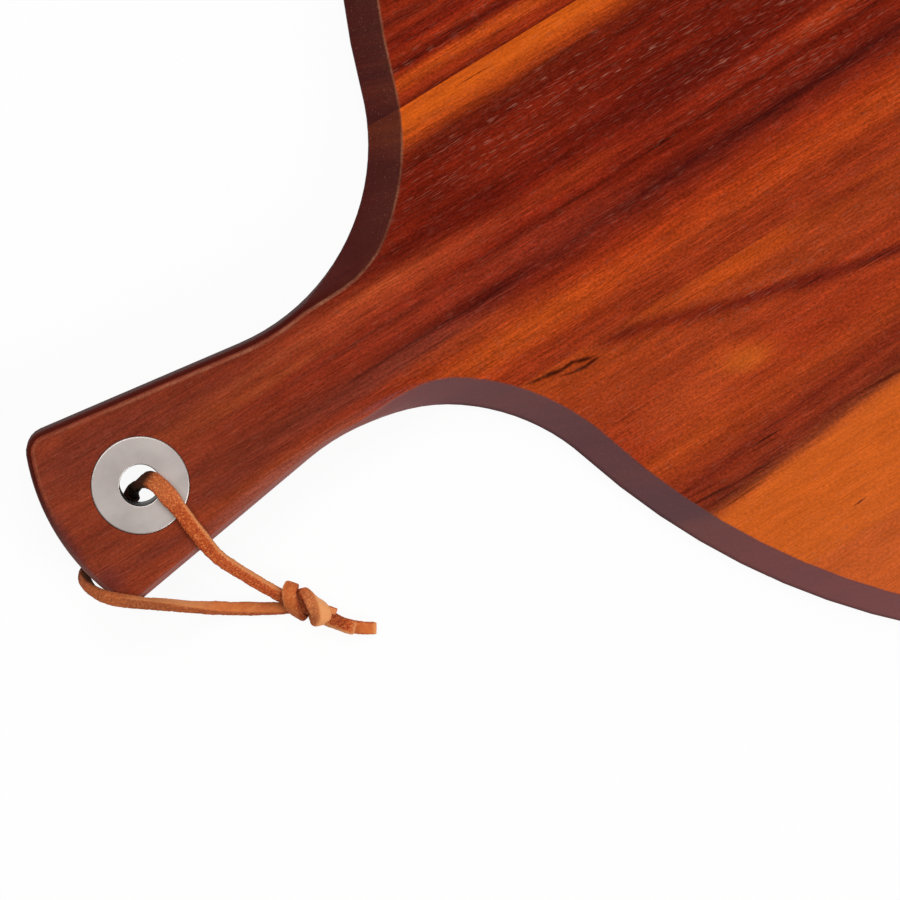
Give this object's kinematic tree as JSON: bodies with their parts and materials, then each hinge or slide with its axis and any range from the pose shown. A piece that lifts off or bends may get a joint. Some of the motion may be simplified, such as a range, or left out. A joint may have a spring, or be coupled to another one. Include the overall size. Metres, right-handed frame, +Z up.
{
  "type": "pizza board",
  "caption": "Round wooden pizza board with a bevelled edge, a flared handle, a metal hanging eyelet and a tied leather lace.",
  "frame": {"origin": "on the surface that the board lies on, midway along the board's length and on its centre line", "axes": "+X from the handle to the round body, +Y to the left, +Z up out of the serving face"},
  "size_m": [0.467, 0.356, 0.019],
  "materials": {
    "acacia": "oiled and polished, glossy",
    "satin_steel": "satin",
    "lace_leather": "matt, with suede sides"
  },
  "bodies": {
    "root": {"edge_stave_left": "acacia", "inner_stave_left": "acacia", "handle_stave": "acacia", "inner_stave_right": "acacia", "edge_stave_right": "acacia", "eyelet": "satin_steel", "eyelet_washer": "satin_steel", "lace_front_strand": "lace_leather", "lace_back_strand": "lace_leather", "lace_knot": "lace_leather", "lace_tail_front": "lace_leather", "lace_tail_back": "lace_leather"}
  },
  "joints": []
}
